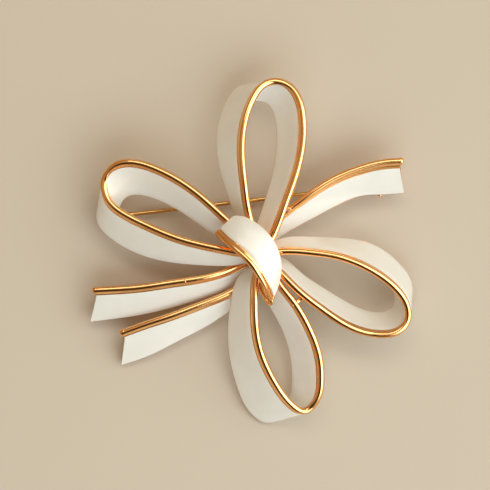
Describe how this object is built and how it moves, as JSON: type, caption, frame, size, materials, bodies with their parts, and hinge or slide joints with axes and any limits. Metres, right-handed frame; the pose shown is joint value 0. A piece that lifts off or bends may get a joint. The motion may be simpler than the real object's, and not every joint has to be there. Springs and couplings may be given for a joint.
{
  "type": "ribbon bow brooch",
  "caption": "Ribbon bow brooch with enamelled loops and tails, gold beaded edges, a crossing knot, and a hinged pin with a turning safety catch on its back.",
  "frame": {"origin": "centre of the bounding box in X and Y, on the surface the brooch lies on", "axes": "+Y up as worn, +X to the right seen from the front, +Z out of the front"},
  "size_m": [0.0645, 0.0693, 0.0163],
  "materials": {
    "gold_plate": "polished gold-coloured plate",
    "pin_wire": "drawn and polished gold-coloured wire",
    "cream_enamel": "glossy cream enamel"
  },
  "bodies": {
    "brooch": {"loop_top": "gold_plate", "loop_left": "gold_plate", "loop_right": "gold_plate", "loop_bottom": "gold_plate", "tail_right": "gold_plate", "tail_upper_left": "gold_plate", "tail_lower_left": "gold_plate", "knot_band": "gold_plate", "centre_block": "gold_plate", "centre_rivet": "gold_plate", "loop_brace": "gold_plate", "tail_brace": "gold_plate", "hinge_bracket": "gold_plate", "hinge_rivet": "pin_wire", "catch_housing": "gold_plate", "loop_top_enamel_outer": "cream_enamel", "loop_top_enamel_inner": "cream_enamel", "loop_left_enamel_outer": "cream_enamel", "loop_left_enamel_inner": "cream_enamel", "loop_right_enamel_outer": "cream_enamel", "loop_right_enamel_inner": "cream_enamel", "loop_bottom_enamel_outer": "cream_enamel", "loop_bottom_enamel_inner": "cream_enamel", "tail_right_enamel": "cream_enamel", "tail_upper_left_enamel": "cream_enamel", "tail_lower_left_enamel": "cream_enamel", "knot_enamel": "cream_enamel"},
    "pin": {"pin_stem": "pin_wire"},
    "catch_lever": {"catch_rotor": "gold_plate"}
  },
  "joints": [
    {"name": "pin_hinge", "type": "hinge", "parent": "brooch", "child": "pin", "pos_m": [-0.028, 0.00718, 0.00175], "axis": [-0.1162, 0.9932, 0], "range_deg": [0, 75]},
    {"name": "catch_turn", "type": "hinge", "parent": "brooch", "child": "catch_lever", "pos_m": [0.027, 0.01361, 0.00175], "axis": [0.9932, 0.1162, 0], "range_deg": [0, 100]}
  ]
}
